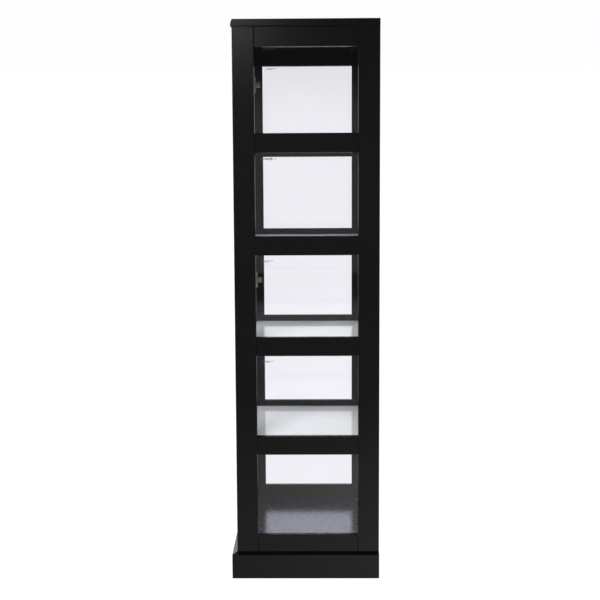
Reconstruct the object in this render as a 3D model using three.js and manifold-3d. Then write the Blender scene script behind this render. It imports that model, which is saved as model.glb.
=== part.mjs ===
// Free-standing glass display showcase: a tall black cabinet with framed glass sides, four glass
// shelves, a framed glass door on three concealed hinges and a can light under the top board.
// Millimetres, +Z up, the door faces -Y. The origin is on the floor, at the middle of the whole
// object's box. "left" and "right" are as seen by someone who stands in front of the door.

import * as THREE from 'three';
import { mergeVertices } from 'three/addons/utils/BufferGeometryUtils.js';
import Module from 'manifold-3d';

const wasm = await Module();
wasm.setup();

// ---------------------------------------------------------------- driving dimensions

const CABINET_HEIGHT = 1780;
const CARCASS_WIDTH = 600;
const CARCASS_DEPTH = 460;
const CLEARANCE = 0.3; // air left between pieces that touch

const TOP_THICKNESS = 22;
const TOP_OVERHANG = 4;
const NOSE_BASE = 5; // upright part of the top board's moulded front edge
const NOSE_DEPTH = 7;

const FRAME_THICKNESS = 20;
const STILE_WIDTH = 68;
const RAIL_WIDTH = 61;
const END_PANE_HEIGHT = 264.5; // sight size of the lowest and highest panes
const MID_PANE_HEIGHT = 260.5; // sight size of the three panes between them
const BOTTOM_RAIL_TOP = 141.5;
const BOTTOM_RAIL_WIDTH = 65;
const EASED_EDGE = 1.2;

const PANE_THICKNESS = 4;
const GROOVE_WIDTH = PANE_THICKNESS + 0.8;
const GROOVE_DEPTH = 6;
const PANE_IN_GROOVE = 5;

const PLINTH_HEIGHT = 85.5;
const PLINTH_THICKNESS = 16;
const PLINTH_BEVEL_HEIGHT = 7;
const PLINTH_TOP_FLAT = 1;

const FLOOR_TOP = 88;
const FLOOR_THICKNESS = 18;
const BACK_THICKNESS = 6;

const SHELF_COUNT = 4;
const SHELF_THICKNESS = 8;
const SHELF_SIDE_GAP = 1.5;
const CLEAT_SIZE = 12;
const CLEAT_TOP_ON_RAIL = 31; // the cleat's top above its rail's lower edge

const DOOR_THICKNESS = 20;
const DOOR_GAP = 2;
const DOOR_TOP_GAP = 2.5;
const DOOR_STILE_WIDTH = 58;
const DOOR_TOP_RAIL_WIDTH = 58;
const DOOR_BOTTOM_RAIL_WIDTH = 64;

const HINGE_HEIGHTS = [298, 920, 1630];
const CUP_RADIUS = 17.5;
const CUP_DEPTH = 11;
const CUP_FROM_DOOR_EDGE = 22.5;
const CUP_FLANGE_THICKNESS = 1.2;

const LOCK_HEIGHT = 960;
const LOCK_FROM_DOOR_EDGE = 25;
const LOCK_RADIUS = 9;
const PLUG_RADIUS = 6.5;
const CAM_REACH = 35;
const CAM_WIDTH = 14;
const CAM_THICKNESS = 2.5;
const CAM_BEHIND_DOOR = 3;

const LAMP_RADIUS = 30.5;
const LAMP_HEIGHT = 34;
const LAMP_FROM_FRONT = 109;

// ---------------------------------------------------------------- derived places

const HALF_WIDTH = CARCASS_WIDTH / 2;
const INNER_HALF_WIDTH = HALF_WIDTH - FRAME_THICKNESS;
const BACK_Y = (CARCASS_DEPTH + PLINTH_THICKNESS) / 2;
const FRONT_Y = BACK_Y - CARCASS_DEPTH;
const TOP_UNDERSIDE = CABINET_HEIGHT - TOP_THICKNESS;
const FRAME_TOP = TOP_UNDERSIDE - CLEARANCE;
const RAIL_START_Y = FRONT_Y + STILE_WIDTH + CLEARANCE;
const RAIL_LENGTH = CARCASS_DEPTH - 2 * STILE_WIDTH - 2 * CLEARANCE;

const DOOR_LEFT = -INNER_HALF_WIDTH + DOOR_GAP;
const DOOR_RIGHT = INNER_HALF_WIDTH - DOOR_GAP;
const DOOR_BOTTOM = FLOOR_TOP + DOOR_TOP_GAP;
const DOOR_TOP = TOP_UNDERSIDE - DOOR_TOP_GAP;
const DOOR_BACK_Y = FRONT_Y + DOOR_THICKNESS;
const CUP_X = DOOR_LEFT + CUP_FROM_DOOR_EDGE;
const LOCK_X = DOOR_RIGHT - LOCK_FROM_DOOR_EDGE;

// Lower edges of the four rails that hide the shelves, from the lowest up.
const railBottoms = [];
for (let level = 0; level < SHELF_COUNT; level += 1) {
  railBottoms.push(BOTTOM_RAIL_TOP + END_PANE_HEIGHT + level * (RAIL_WIDTH + MID_PANE_HEIGHT));
}
const TOP_RAIL_BOTTOM = railBottoms[SHELF_COUNT - 1] + RAIL_WIDTH + END_PANE_HEIGHT;

// The lower and upper edge of each side pane's opening, from the lowest up.
const paneOpenings = [[BOTTOM_RAIL_TOP, railBottoms[0]]];
for (let level = 1; level < SHELF_COUNT; level += 1) {
  paneOpenings.push([railBottoms[level - 1] + RAIL_WIDTH, railBottoms[level]]);
}
paneOpenings.push([railBottoms[SHELF_COUNT - 1] + RAIL_WIDTH, TOP_RAIL_BOTTOM]);

// ---------------------------------------------------------------- materials

const paint = new THREE.MeshStandardMaterial({ color: 0x232225, roughness: 0.45, metalness: 0 });
const clearGlass = new THREE.MeshStandardMaterial({
  color: 0xeceef4, roughness: 0.03, metalness: 0, transparent: true, opacity: 0.3,
});
const satinGlass = new THREE.MeshStandardMaterial({
  color: 0xdadde2, roughness: 0.3, metalness: 0, transparent: true, opacity: 0.7,
});
const nickel = new THREE.MeshStandardMaterial({ color: 0xaaa59c, roughness: 0.35, metalness: 1 });
const chrome = new THREE.MeshStandardMaterial({ color: 0xc4c4c2, roughness: 0.15, metalness: 1 });
const blackMetal = new THREE.MeshStandardMaterial({ color: 0x111211, roughness: 0.5, metalness: 0.2 });
const lensGlass = new THREE.MeshStandardMaterial({ color: 0x59605a, roughness: 0.25, metalness: 0 });

// ---------------------------------------------------------------- helpers

const group = new THREE.Group();

function addMesh(name, geometry, material) {
  const mesh = new THREE.Mesh(geometry, material);
  mesh.name = name;
  group.add(mesh);
  return mesh;
}

// A box between two corners.
function box(x0, y0, z0, x1, y1, z1) {
  const geometry = new THREE.BoxGeometry(x1 - x0, y1 - y0, z1 - z0);
  return geometry.translate((x0 + x1) / 2, (y0 + y1) / 2, (z0 + z1) / 2);
}

// Extrudes an outline along a row axis, from start to start + length. The outline is in XY for
// axis z, in XZ for axis y and in YZ for axis x. Both ends are chamfered by endChamfer.
function bar(outline, axis, start, length, endChamfer = 0) {
  const shape = outline instanceof THREE.Shape
    ? outline
    : new THREE.Shape(outline.map(([a, b]) => new THREE.Vector2(a, b)));
  const geometry = new THREE.ExtrudeGeometry(shape, {
    depth: length - 2 * endChamfer,
    bevelEnabled: endChamfer > 0,
    bevelThickness: endChamfer,
    bevelSize: endChamfer,
    bevelOffset: -endChamfer,
    bevelSegments: 1,
    curveSegments: 6,
  });
  geometry.translate(0, 0, endChamfer);
  const [x, y, z] = [[1, 0, 0], [0, 1, 0], [0, 0, 1]].map((v) => new THREE.Vector3(...v));
  if (axis === 'x') {
    geometry.applyMatrix4(new THREE.Matrix4().makeBasis(y, z, x));
    geometry.translate(start, 0, 0);
  } else if (axis === 'y') {
    geometry.applyMatrix4(new THREE.Matrix4().makeBasis(x, z, y.negate()));
    geometry.translate(0, start + length, 0);
  } else {
    geometry.translate(0, 0, start);
  }
  return geometry;
}

// Cross-section of a frame member: across its width from 0, through its thickness from the outer
// face at 0. Its long edges are eased, and a glazing groove runs down the edges that hold glass.
function memberSection(width, grooveAtLow, grooveAtHigh) {
  const low = (FRAME_THICKNESS - GROOVE_WIDTH) / 2;
  const high = low + GROOVE_WIDTH;
  const e = EASED_EDGE;
  const points = [[0, e], [e, 0]];
  if (grooveAtLow) {
    points.push([low, 0], [low, GROOVE_DEPTH], [high, GROOVE_DEPTH], [high, 0]);
  }
  points.push([FRAME_THICKNESS - e, 0], [FRAME_THICKNESS, e]);
  points.push([FRAME_THICKNESS, width - e], [FRAME_THICKNESS - e, width]);
  if (grooveAtHigh) {
    points.push([high, width], [high, width - GROOVE_DEPTH], [low, width - GROOVE_DEPTH], [low, width]);
  }
  points.push([e, width], [0, width - e]);
  return points;
}

// Pane centre plane, measured in from the outer face of the frame that holds it.
const PANE_OUTER = (FRAME_THICKNESS - PANE_THICKNESS) / 2;
const PANE_INNER = PANE_OUTER + PANE_THICKNESS;

function toManifold(geometry) {
  const bare = geometry.index ? geometry.clone() : geometry;
  bare.deleteAttribute('normal');
  bare.deleteAttribute('uv');
  const merged = mergeVertices(bare, 1e-4);
  return new wasm.Manifold(new wasm.Mesh({
    numProp: 3,
    vertProperties: new Float32Array(merged.attributes.position.array),
    triVerts: new Uint32Array(merged.index.array),
  }));
}

function toGeometry(solid) {
  const mesh = solid.getMesh();
  const geometry = new THREE.BufferGeometry();
  geometry.setAttribute('position', new THREE.BufferAttribute(new Float32Array(mesh.vertProperties), 3));
  geometry.setIndex(new THREE.BufferAttribute(new Uint32Array(mesh.triVerts), 1));
  return geometry;
}

function unite(first, ...others) {
  return toGeometry(others.reduce((solid, other) => solid.add(toManifold(other)), toManifold(first)));
}

function cut(first, ...tools) {
  return toGeometry(tools.reduce((solid, tool) => solid.subtract(toManifold(tool)), toManifold(first)));
}

// ---------------------------------------------------------------- top board, floor and back

function makeTopBoard() {
  const noseY = FRONT_Y - TOP_OVERHANG;
  const noseZ = TOP_UNDERSIDE + NOSE_BASE;
  const outline = new THREE.Shape();
  outline.moveTo(BACK_Y, TOP_UNDERSIDE);
  outline.lineTo(noseY, TOP_UNDERSIDE);
  outline.lineTo(noseY, noseZ);
  outline.quadraticCurveTo(noseY + 1.5, CABINET_HEIGHT - 2, noseY + NOSE_DEPTH, CABINET_HEIGHT);
  outline.lineTo(BACK_Y, CABINET_HEIGHT);
  outline.closePath();
  const length = CARCASS_WIDTH + 2 * TOP_OVERHANG;
  addMesh('top_board', bar(outline, 'x', -length / 2, length, 1), paint);
}

function makeFloorAndBack() {
  const x = INNER_HALF_WIDTH - CLEARANCE;
  const backFrontY = BACK_Y - BACK_THICKNESS;
  const floorBackY = backFrontY - CLEARANCE;
  addMesh('floor_panel', box(-x, FRONT_Y, FLOOR_TOP - FLOOR_THICKNESS, x, floorBackY, FLOOR_TOP), paint);
  addMesh('back_panel', box(-x, backFrontY, 0, x, BACK_Y, FRAME_TOP), paint);
}

// ---------------------------------------------------------------- plinth

// The plinth boards' section: outward from the carcass face, and up from the floor.
function plinthSection() {
  return [
    [CLEARANCE, 0],
    [PLINTH_THICKNESS, 0],
    [PLINTH_THICKNESS, PLINTH_HEIGHT - PLINTH_BEVEL_HEIGHT],
    [PLINTH_TOP_FLAT, PLINTH_HEIGHT],
    [CLEARANCE, PLINTH_HEIGHT],
  ];
}

// Moves every vertex of a bar with place(x, y, z), which returns the new x and y.
function reshape(geometry, place) {
  const position = geometry.attributes.position;
  for (let i = 0; i < position.count; i += 1) {
    const [x, y] = place(position.getX(i), position.getY(i));
    position.setX(i, x);
    position.setY(i, y);
  }
  return geometry;
}

// The front board's ends and the side boards' front ends are mitred.
function makePlinth() {
  const frontOutline = plinthSection().map(([out, up]) => [FRONT_Y - out, up]);
  const front = bar(frontOutline, 'x', -HALF_WIDTH, CARCASS_WIDTH);
  reshape(front, (x, y) => [Math.sign(x) * (HALF_WIDTH + FRONT_Y - y - CLEARANCE), y]);
  addMesh('plinth_front', front, paint);
  for (const [name, side] of [['left', -1], ['right', 1]]) {
    const sideOutline = plinthSection().map(([out, up]) => [side * (HALF_WIDTH + out), up]);
    const board = bar(sideOutline, 'y', FRONT_Y, CARCASS_DEPTH);
    reshape(board, (x, y) => {
      const out = Math.abs(x) - HALF_WIDTH;
      return [x, y < 0 ? FRONT_Y - out : y];
    });
    addMesh(`plinth_${name}`, board, paint);
  }
}

// ---------------------------------------------------------------- framed glass sides

function makeSideFrame(name, side) {
  const fromOuterFace = (depth) => side * (HALF_WIDTH - depth);
  const paneX = [fromOuterFace(PANE_OUTER), fromOuterFace(PANE_INNER)].sort((a, b) => a - b);

  const frontStile = memberSection(STILE_WIDTH, false, true);
  const rearStile = memberSection(STILE_WIDTH, true, false);
  const stileHeight = FRAME_TOP;
  const front = bar(frontStile.map(([d, w]) => [fromOuterFace(d), FRONT_Y + w]), 'z', 0, stileHeight);
  addMesh(`${name}_stile_front`, side > 0 ? cut(front, makeCamMortise()) : front, paint);
  addMesh(`${name}_stile_rear`,
    bar(rearStile.map(([d, w]) => [fromOuterFace(d), BACK_Y - STILE_WIDTH + w]), 'z', 0, stileHeight), paint);

  function addRail(railName, bottom, width, grooveAtLow, grooveAtHigh) {
    const section = memberSection(width, grooveAtLow, grooveAtHigh);
    const outline = section.map(([d, w]) => [fromOuterFace(d), bottom + w]);
    addMesh(`${name}_rail_${railName}`, bar(outline, 'y', RAIL_START_Y, RAIL_LENGTH, EASED_EDGE), paint);
  }
  addRail('bottom', BOTTOM_RAIL_TOP - BOTTOM_RAIL_WIDTH, BOTTOM_RAIL_WIDTH, false, true);
  railBottoms.forEach((bottom, level) => addRail(level + 1, bottom, RAIL_WIDTH, true, true));
  addRail('top', TOP_RAIL_BOTTOM, FRAME_TOP - TOP_RAIL_BOTTOM, true, false);

  const paneY0 = FRONT_Y + STILE_WIDTH - PANE_IN_GROOVE;
  const paneY1 = BACK_Y - STILE_WIDTH + PANE_IN_GROOVE;
  paneOpenings.forEach(([low, high], level) => {
    const pane = box(paneX[0], paneY0, low - PANE_IN_GROOVE, paneX[1], paneY1, high + PANE_IN_GROOVE);
    addMesh(`${name}_pane_${level + 1}`, pane, clearGlass);
  });
}

// ---------------------------------------------------------------- shelves and their cleats

function makeShelf(level) {
  const cleatTop = railBottoms[level] + CLEAT_TOP_ON_RAIL;
  const shelfBottom = cleatTop + CLEARANCE;
  const shelfX = INNER_HALF_WIDTH - SHELF_SIDE_GAP;
  const shelfFrontY = DOOR_BACK_Y + 10;
  const shelfBackY = BACK_Y - BACK_THICKNESS - SHELF_SIDE_GAP;
  const shelf = box(-shelfX, shelfFrontY, shelfBottom, shelfX, shelfBackY, shelfBottom + SHELF_THICKNESS);
  addMesh(`shelf_${level + 1}`, shelf, satinGlass);
  for (const [name, side] of [['left', -1], ['right', 1]]) {
    const outer = side * (INNER_HALF_WIDTH - CLEARANCE);
    const inner = outer - side * CLEAT_SIZE;
    const section = [
      [outer, cleatTop - CLEAT_SIZE],
      [inner + side * 3, cleatTop - CLEAT_SIZE],
      [inner, cleatTop - CLEAT_SIZE + 3],
      [inner, cleatTop],
      [outer, cleatTop],
    ];
    addMesh(`${name}_cleat_${level + 1}`, bar(section, 'y', RAIL_START_Y, RAIL_LENGTH), paint);
  }
}

// ---------------------------------------------------------------- door

function makeDoor() {
  const door = (section, edge) => section.map(([d, w]) => [edge + w, FRONT_Y + d]);
  const height = DOOR_TOP - DOOR_BOTTOM;
  const hingeStile = bar(door(memberSection(DOOR_STILE_WIDTH, false, true), DOOR_LEFT), 'z', DOOR_BOTTOM, height);
  const lockStile = bar(
    door(memberSection(DOOR_STILE_WIDTH, true, false), DOOR_RIGHT - DOOR_STILE_WIDTH), 'z', DOOR_BOTTOM, height);
  const pockets = HINGE_HEIGHTS.map((z) => {
    const depth = CUP_DEPTH + 1;
    const pocket = new THREE.CylinderGeometry(CUP_RADIUS + CLEARANCE, CUP_RADIUS + CLEARANCE, depth + 1, 40);
    return pocket.translate(CUP_X, DOOR_BACK_Y + 1 - (depth + 1) / 2, z);
  });
  addMesh('door_stile_hinge_side', cut(hingeStile, ...pockets), paint);
  const lockHole = new THREE.CylinderGeometry(LOCK_RADIUS + CLEARANCE, LOCK_RADIUS + CLEARANCE, 40, 40);
  lockHole.translate(LOCK_X, FRONT_Y + DOOR_THICKNESS / 2, LOCK_HEIGHT);
  addMesh('door_stile_lock_side', cut(lockStile, lockHole), paint);

  const railStart = DOOR_LEFT + DOOR_STILE_WIDTH + CLEARANCE;
  const railLength = DOOR_RIGHT - DOOR_LEFT - 2 * DOOR_STILE_WIDTH - 2 * CLEARANCE;
  const railOutline = (section, bottom) => section.map(([d, w]) => [FRONT_Y + d, bottom + w]);
  const topSection = memberSection(DOOR_TOP_RAIL_WIDTH, true, false);
  const bottomSection = memberSection(DOOR_BOTTOM_RAIL_WIDTH, false, true);
  addMesh('door_rail_top',
    bar(railOutline(topSection, DOOR_TOP - DOOR_TOP_RAIL_WIDTH), 'x', railStart, railLength, EASED_EDGE), paint);
  addMesh('door_rail_bottom',
    bar(railOutline(bottomSection, DOOR_BOTTOM), 'x', railStart, railLength, EASED_EDGE), paint);

  const glassX = DOOR_RIGHT - DOOR_STILE_WIDTH + PANE_IN_GROOVE;
  const glassBottom = DOOR_BOTTOM + DOOR_BOTTOM_RAIL_WIDTH - PANE_IN_GROOVE;
  const glassTop = DOOR_TOP - DOOR_TOP_RAIL_WIDTH + PANE_IN_GROOVE;
  addMesh('door_glass',
    box(-glassX, FRONT_Y + PANE_OUTER, glassBottom, glassX, FRONT_Y + PANE_INNER, glassTop), clearGlass);
}

// ---------------------------------------------------------------- cam lock

// A flanged barrel fixed in the door's stile. The key plug turns in it and carries the cam, a
// flat tongue behind the door. It stands upright when the door is unlocked and turns down
// towards the right side frame to lock it.
function makeLock() {
  const flangeThickness = 2;
  const barrelLength = DOOR_THICKNESS + 1;
  const bore = PLUG_RADIUS + CLEARANCE;
  const barrelProfile = [
    [bore, 0], [LOCK_RADIUS, 0], [LOCK_RADIUS, barrelLength + CLEARANCE],
    [LOCK_RADIUS + 2, barrelLength + CLEARANCE], [LOCK_RADIUS + 2, barrelLength + 1],
    [LOCK_RADIUS + 1, barrelLength + flangeThickness], [bore, barrelLength + flangeThickness], [bore, 0],
  ].map(([r, h]) => new THREE.Vector2(r, h));
  const barrel = new THREE.LatheGeometry(barrelProfile, 40);
  barrel.rotateX(Math.PI);
  barrel.translate(LOCK_X, FRONT_Y + barrelLength, LOCK_HEIGHT);
  addMesh('lock_barrel', barrel, chrome);

  const plugFrontY = FRONT_Y - 1.5;
  const camY = DOOR_BACK_Y + CAM_BEHIND_DOOR;
  const plugLength = camY + CAM_THICKNESS - plugFrontY;
  const plug = new THREE.CylinderGeometry(PLUG_RADIUS, PLUG_RADIUS, plugLength, 40);
  plug.translate(LOCK_X, plugFrontY + plugLength / 2, LOCK_HEIGHT);
  const cam = box(
    LOCK_X - CAM_WIDTH / 2, camY, LOCK_HEIGHT - 10, LOCK_X + CAM_WIDTH / 2, camY + CAM_THICKNESS,
    LOCK_HEIGHT + CAM_REACH);
  const keySlot = box(LOCK_X - 0.6, plugFrontY - 1, LOCK_HEIGHT - 4, LOCK_X + 0.6, plugFrontY + 4, LOCK_HEIGHT + 4);
  addMesh('lock_plug_and_cam', cut(unite(plug, cam), keySlot), chrome);
}

// The mortise in the right front stile's inner face that the turned cam swings down into.
function makeCamMortise() {
  const depth = LOCK_X + CAM_REACH + 3 - INNER_HALF_WIDTH;
  const y = DOOR_BACK_Y + CAM_BEHIND_DOOR;
  return box(
    INNER_HALF_WIDTH - 1, y - 2, LOCK_HEIGHT - CAM_WIDTH / 2 - 4,
    INNER_HALF_WIDTH + depth, y + CAM_THICKNESS + 2, LOCK_HEIGHT + CAM_REACH - 8);
}

// ---------------------------------------------------------------- concealed hinges

// The cabinet half: a winged mounting plate on the left frame's inner face, with the arm on it
// that reaches forward to just behind the cup.
function makeHingeArm(number, z) {
  const faceX = -INNER_HALF_WIDTH + CLEARANCE;
  const wings = box(faceX, FRONT_Y + 30, z - 29.5, faceX + 2, FRONT_Y + 45, z + 29.5);
  const base = box(faceX, FRONT_Y + 28, z - 10.5, faceX + 6, FRONT_Y + 61, z + 10.5);
  const arm = box(faceX + 4, DOOR_BACK_Y + 3, z - 8, faceX + 16, FRONT_Y + 58, z + 8);
  const reach = box(faceX + 11, DOOR_BACK_Y + 3, z - 6, CUP_X + 4, DOOR_BACK_Y + 6, z + 6);
  addMesh(`hinge_arm_${number}`, unite(wings, base, arm, reach), nickel);
}

// The door half: an open cup let into the door's stile, with its screw flange.
function makeHingeCup(number, z) {
  const wall = 1.2;
  const outer = CUP_RADIUS;
  const inner = outer - wall;
  const profile = [
    [0, 0], [outer, 0], [outer, CUP_DEPTH + CUP_FLANGE_THICKNESS],
    [inner, CUP_DEPTH + CUP_FLANGE_THICKNESS], [inner, wall], [0, wall],
  ].map(([r, h]) => new THREE.Vector2(r, h));
  const cup = new THREE.LatheGeometry(profile, 40);
  cup.translate(CUP_X, DOOR_BACK_Y - CUP_DEPTH + CLEARANCE, z);
  const flangeY = DOOR_BACK_Y + CLEARANCE;
  const flange = box(CUP_X - 8, flangeY, z - 29, CUP_X + 14, flangeY + CUP_FLANGE_THICKNESS, z + 29);
  const mouth = new THREE.CylinderGeometry(inner, inner, 10, 40);
  mouth.translate(CUP_X, flangeY, z);
  addMesh(`hinge_cup_${number}`, unite(cut(flange, mouth), cup), nickel);
}

// ---------------------------------------------------------------- can light under the top board

function makeLamp() {
  const wall = 2;
  const lensRadius = LAMP_RADIUS - 4;
  const lampY = FRONT_Y + LAMP_FROM_FRONT;
  const housingProfile = [
    [0, 0], [0, -wall], [lensRadius - 2, -wall], [lensRadius - 2, 6 - LAMP_HEIGHT],
    [lensRadius + 0.5, 6 - LAMP_HEIGHT], [lensRadius + 0.5, 1 - LAMP_HEIGHT],
    [LAMP_RADIUS - 1.5, -LAMP_HEIGHT], [LAMP_RADIUS, 1.5 - LAMP_HEIGHT], [LAMP_RADIUS, 0], [0, 0],
  ].map(([r, h]) => new THREE.Vector2(r, h));
  const housing = new THREE.LatheGeometry(housingProfile, 48);
  housing.rotateX(Math.PI / 2);
  housing.translate(0, lampY, TOP_UNDERSIDE - CLEARANCE);
  addMesh('lamp_housing', housing, blackMetal);
  const lens = new THREE.CylinderGeometry(lensRadius, lensRadius, 3, 48);
  lens.rotateX(Math.PI / 2);
  lens.translate(0, lampY, TOP_UNDERSIDE - LAMP_HEIGHT + 4);
  addMesh('lamp_lens', lens, lensGlass);
}

// ---------------------------------------------------------------- assembly

makeTopBoard();
makeFloorAndBack();
makePlinth();
makeSideFrame('left', -1);
makeSideFrame('right', 1);
for (let level = 0; level < SHELF_COUNT; level += 1) {
  makeShelf(level);
}
makeDoor();
makeLock();
HINGE_HEIGHTS.forEach((z, index) => {
  makeHingeArm(index + 1, z);
  makeHingeCup(index + 1, z);
});
makeLamp();

export default group;
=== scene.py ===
# %% [markdown]
# # Glass display showcase
# A tall, narrow shop cabinet: black lacquered wood frames, clear glass in the sides and the door,
# four satin glass shelves, three concealed hinges, a cam lock and one can light under the top
# board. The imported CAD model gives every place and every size, so this lesson is about looks:
# how each surface was made on the real cabinet, and which nodes and meshes give that to the eye.

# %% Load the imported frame
import math

import bmesh
import bpy
from mathutils import Matrix, Vector


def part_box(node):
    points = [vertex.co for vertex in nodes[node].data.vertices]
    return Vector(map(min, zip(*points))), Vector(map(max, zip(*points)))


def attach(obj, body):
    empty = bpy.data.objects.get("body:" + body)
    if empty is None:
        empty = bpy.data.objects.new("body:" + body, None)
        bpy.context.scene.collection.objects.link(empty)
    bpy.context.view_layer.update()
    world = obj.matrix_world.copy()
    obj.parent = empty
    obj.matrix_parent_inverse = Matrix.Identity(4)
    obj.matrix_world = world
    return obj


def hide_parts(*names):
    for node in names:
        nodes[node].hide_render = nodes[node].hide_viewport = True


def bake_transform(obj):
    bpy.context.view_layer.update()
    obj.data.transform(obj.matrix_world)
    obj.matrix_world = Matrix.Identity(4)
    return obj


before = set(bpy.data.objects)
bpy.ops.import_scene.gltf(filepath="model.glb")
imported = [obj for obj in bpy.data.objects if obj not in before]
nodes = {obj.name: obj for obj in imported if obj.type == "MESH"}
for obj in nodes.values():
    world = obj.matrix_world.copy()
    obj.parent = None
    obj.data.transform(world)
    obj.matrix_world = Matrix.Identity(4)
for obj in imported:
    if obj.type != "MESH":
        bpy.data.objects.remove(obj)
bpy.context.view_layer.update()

MM = 0.001

# %% [markdown]
# ## The camera
# It stands at the cabinet's right-hand side, a little below shoulder height, and looks slightly
# down. That is why the verticals draw together a little towards the floor.

# %% Camera
CAMERA_PLACE = Vector((3.69886, 0.02773, 1.28171))
CAMERA_HEADING = math.radians(90.71)  # 90 degrees looks straight along -X
CAMERA_PITCH_DOWN = math.radians(6.28)
CAMERA_ROLL = math.radians(-0.29)
LENS_MM = 64.745


def turn(angle, axis):
    return Matrix.Rotation(angle, 4, axis)


camera_data = bpy.data.cameras.new("camera")
camera_data.lens = LENS_MM
camera_data.sensor_width = 36.0
camera = bpy.data.objects.new("camera", camera_data)
bpy.context.scene.collection.objects.link(camera)
camera.matrix_world = (
    Matrix.Translation(CAMERA_PLACE)
    @ turn(CAMERA_HEADING, "Z")
    @ turn(math.pi / 2 - CAMERA_PITCH_DOWN, "X")
    @ turn(CAMERA_ROLL, "Z")
)
bpy.context.scene.camera = camera
bpy.context.scene.view_settings.view_transform = "Standard"
print("camera looks along", (camera.matrix_world.to_3x3() @ Vector((0, 0, -1))).to_tuple(4))

# %% [markdown]
# ## Two helpers for every material
# Colours are written as sRGB hex, as a designer would pick them, and the shader works in linear
# light, so one function converts. A second one adds a node: an input that is given a socket is
# linked to it, and an input that is given a value is set to it. Patterns are drawn on object
# coordinates, which are metres, so a pattern's scale comes from the size of its marks.

# %% Colour and node helpers


def linear(hex_code):
    """An sRGB hex colour as linear RGBA."""
    channels = [int(hex_code[i : i + 2], 16) / 255 for i in (1, 3, 5)]
    curve = [c / 12.92 if c <= 0.04045 else ((c + 0.055) / 1.055) ** 2.4 for c in channels]
    return (*curve, 1.0)


def add_node(tree, kind, inputs=None, **settings):
    """Adds a shader node, sets its settings, and links or sets its inputs."""
    node = tree.nodes.new("ShaderNode" + kind)
    for name, value in settings.items():
        setattr(node, name, value)
    for name, value in (inputs or {}).items():
        if isinstance(value, bpy.types.NodeSocket):
            tree.links.new(value, node.inputs[name])
        else:
            node.inputs[name].default_value = value
    return node


def new_material(name):
    """An empty node material and its tree."""
    material = bpy.data.materials.new(name)
    material.use_nodes = True
    material.node_tree.nodes.clear()
    return material, material.node_tree


def per_mm(size_mm):
    """The scale of a pattern whose marks are about size_mm wide, on object coordinates."""
    return 1 / (size_mm * MM)


print("a mid grey, #808080, is", round(linear("#808080")[0], 3), "in linear light")

# %% [markdown]
# ## The studio
# Black lacquer has almost no colour of its own: what the eye reads is the room in it. The room
# here is a white backdrop and a white floor, with the camera's side and the ceiling much dimmer.
# The world's colour therefore depends on the direction. What the camera sees straight on, or
# straight through a pane, is plain white. A ray that has bounced off a surface has a glossy or a
# diffuse depth, and that is how the nodes tell the two apart.

# %% World
BACKDROP = 1.06  # the lit backdrop, on the far side from the camera
BACKDROP_HIGH = 0.93  # its share that is left a few degrees above the horizon
UNLIT_HIGH = 0.052  # the unlit studio behind the camera, above head height
UNLIT_LEVEL = 0.29  # the same at eye level, where pale things stand about
UNLIT_SIDES = 0.13  # what the studio's side walls add
CEILING_SHARE = 0.4  # how bright the ceiling is, beside the walls

# Every smooth change in the room: which way to look, from where to where along that axis (1 is
# straight along it, 0 is square to it), and the brightness or share at those two.
ROOM_CHANGES = {
    "eye level": ("up", 0.05, 0.11, UNLIT_LEVEL, UNLIT_HIGH),
    "side walls": ("either side", 0.04, 0.4, 0.0, UNLIT_SIDES),
    "towards backdrop": ("to the camera", 0.35, -0.45, 0.0, 1.0),
    "ceiling": ("up", 0.25, 0.75, 1.0, CEILING_SHARE),
    "backdrop as seen": ("up", 0.03, 0.12, BACKDROP, BACKDROP * BACKDROP_HIGH),
}


def bounces(tree):
    """0 for what is seen straight on or straight through glass, and 1 for what lights or mirrors."""
    path = add_node(tree, "LightPath")
    depths = {0: path.outputs["Glossy Depth"], 1: path.outputs["Diffuse Depth"]}
    return add_node(tree, "Math", depths, operation="ADD", use_clamp=True).outputs[0]


def smooth_changes(tree, ways, changes):
    """For each named change, a value that goes smoothly from one brightness to the other."""
    made = {}
    for name, (way, low, high, at_low, at_high) in changes.items():
        limits = {"From Min": low, "From Max": high, "To Min": at_low, "To Max": at_high}
        change = add_node(tree, "MapRange", {"Value": ways[way], **limits}, interpolation_type="SMOOTHSTEP")
        made[name] = change.outputs[0]
    return made


world = bpy.data.worlds.new("studio")
bpy.context.scene.world = world
world.use_nodes = True
tree = world.node_tree
tree.nodes.clear()
along = add_node(tree, "SeparateXYZ", {"Vector": add_node(tree, "TexCoord").outputs["Generated"]})
sideways = add_node(tree, "Math", {0: along.outputs["Y"]}, operation="ABSOLUTE")
ways = {"to the camera": along.outputs["X"], "either side": sideways.outputs[0], "up": along.outputs["Z"]}
room = smooth_changes(tree, ways, ROOM_CHANGES)
unlit = add_node(tree, "Math", {0: room["eye level"], 1: room["side walls"]}, operation="ADD")
wall = add_node(tree, "Mix", {"Factor": room["towards backdrop"], "A": unlit.outputs[0], "B": BACKDROP})
given = add_node(tree, "Math", {0: wall.outputs[0], 1: room["ceiling"]}, operation="MULTIPLY")
strength = add_node(tree, "Mix", {"Factor": bounces(tree), "A": room["backdrop as seen"],
                                  "B": given.outputs[0]})
background = add_node(tree, "Background", {"Color": (1, 1, 1, 1), "Strength": strength.outputs[0]})
add_node(tree, "OutputWorld", {"Surface": background.outputs[0]})
print("world nodes:", len(tree.nodes))

# %% [markdown]
# One large softbox gives the direct light. It stands on the camera's side, nearly square on and
# not high, so that the stiles throw no slanting shadows on the shelves. A baffle keeps its glare
# off the lacquer, and a small gloss card gives the upper front corner its sheen instead.

# %% Lights


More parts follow.
